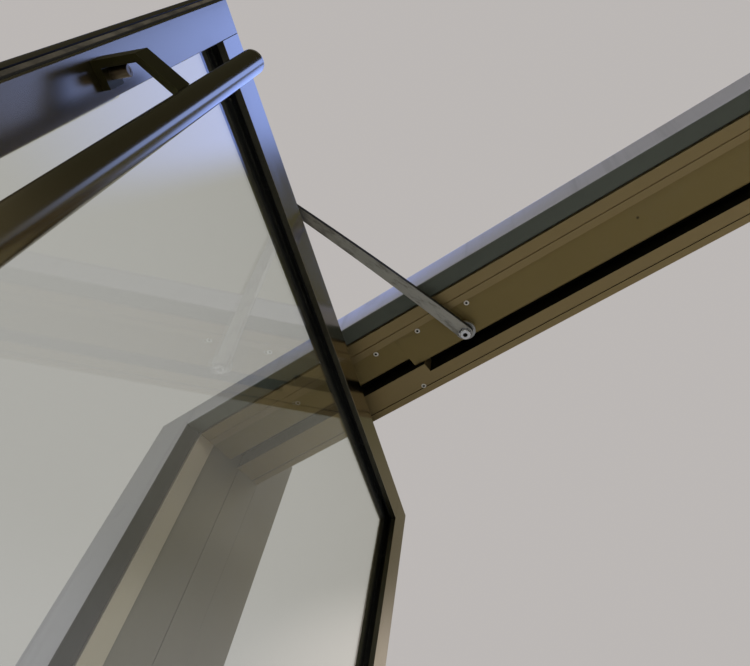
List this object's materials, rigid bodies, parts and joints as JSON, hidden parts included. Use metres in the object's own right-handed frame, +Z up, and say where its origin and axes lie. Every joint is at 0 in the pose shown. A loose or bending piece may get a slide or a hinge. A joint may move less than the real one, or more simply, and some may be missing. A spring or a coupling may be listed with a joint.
{
  "type": "pair of glazed entrance doors",
  "caption": "Pair of full-glass metal-framed entrance doors on offset pivots, open outwards, with tall tube pulls, header closer arms and a grey casing round the frame.",
  "frame": {"origin": "middle of the threshold underside, on the floor", "axes": "+X to the right as seen from outdoors, +Y indoors, +Z up"},
  "size_m": [2.248, 0.9442, 2.569],
  "materials": {
    "frame_bronze": "olive bronze anodised aluminium, satin",
    "leaf_bronze": "bronze anodised aluminium, satin brushed",
    "grey_casing": "grey coated casing, satin",
    "satin_metal": "satin bronzed tube",
    "arm_steel": "satin steel",
    "pivot_steel": "turned steel",
    "sill_metal": "ribbed sill, worn satin",
    "black_gasket": "black glazing gasket, slightly glossy",
    "edge_seal": "dark round edge seal",
    "clear_glass": "clear glass"
  },
  "bodies": {
    "frame": {"casing_head": "grey_casing", "header_beam": "frame_bronze", "header_cover_middle": "frame_bronze", "header_inner_strip": "frame_bronze", "header_outer_strip": "frame_bronze", "left_casing": "grey_casing", "left_closer_spindle": "arm_steel", "left_floor_pivot": "pivot_steel", "left_header_cover": "frame_bronze", "left_jamb": "frame_bronze", "left_jamb_return": "frame_bronze", "left_top_pivot": "pivot_steel", "right_casing": "grey_casing", "right_closer_spindle": "arm_steel", "right_floor_pivot": "pivot_steel", "right_header_cover": "frame_bronze", "right_jamb": "frame_bronze", "right_jamb_return": "frame_bronze", "right_top_pivot": "pivot_steel", "threshold": "sill_metal"},
    "left_leaf": {"left_bottom_rail": "leaf_bronze", "left_edge_nose": "edge_seal", "left_glass": "clear_glass", "left_glazing_gasket": "black_gasket", "left_hinge_stile": "leaf_bronze", "left_inside_pull": "satin_metal", "left_inside_pull_brackets": "satin_metal", "left_lead_stile": "leaf_bronze", "left_outside_pull": "satin_metal", "left_outside_pull_brackets": "satin_metal", "left_top_rail": "leaf_bronze"},
    "right_leaf": {"right_bottom_rail": "leaf_bronze", "right_edge_nose": "edge_seal", "right_glass": "clear_glass", "right_glazing_gasket": "black_gasket", "right_hinge_stile": "leaf_bronze", "right_inside_pull": "satin_metal", "right_inside_pull_brackets": "satin_metal", "right_lead_stile": "leaf_bronze", "right_outside_pull": "satin_metal", "right_outside_pull_brackets": "satin_metal", "right_top_rail": "leaf_bronze"},
    "left_arm": {"left_closer_arm": "arm_steel", "left_closer_arm_bolt": "arm_steel"},
    "right_arm": {"right_closer_arm": "arm_steel", "right_closer_arm_bolt": "arm_steel"}
  },
  "joints": [
    {"name": "left_leaf_swing", "type": "hinge", "parent": "frame", "child": "left_leaf", "pos_m": [-0.674, 0, 0.02], "axis": [0, 0, -1], "range_deg": [-67, 23]},
    {"name": "right_leaf_swing", "type": "hinge", "parent": "frame", "child": "right_leaf", "pos_m": [0.674, 0, 0.02], "axis": [0, 0, 1], "range_deg": [-67, 23]},
    {"name": "left_arm_swing", "type": "hinge", "parent": "frame", "child": "left_arm", "pos_m": [-0.416, 0, 2.435], "axis": [0, 0, -1], "range_deg": [-107.2, 36.8]},
    {"name": "right_arm_swing", "type": "hinge", "parent": "frame", "child": "right_arm", "pos_m": [0.416, 0, 2.435], "axis": [0, 0, 1], "range_deg": [-107.2, 36.8]}
  ],
  "couplings": [
    {"joint": "left_arm_swing", "follows": "left_leaf_swing", "ratio": 1.5999},
    {"joint": "right_arm_swing", "follows": "right_leaf_swing", "ratio": 1.5999}
  ]
}
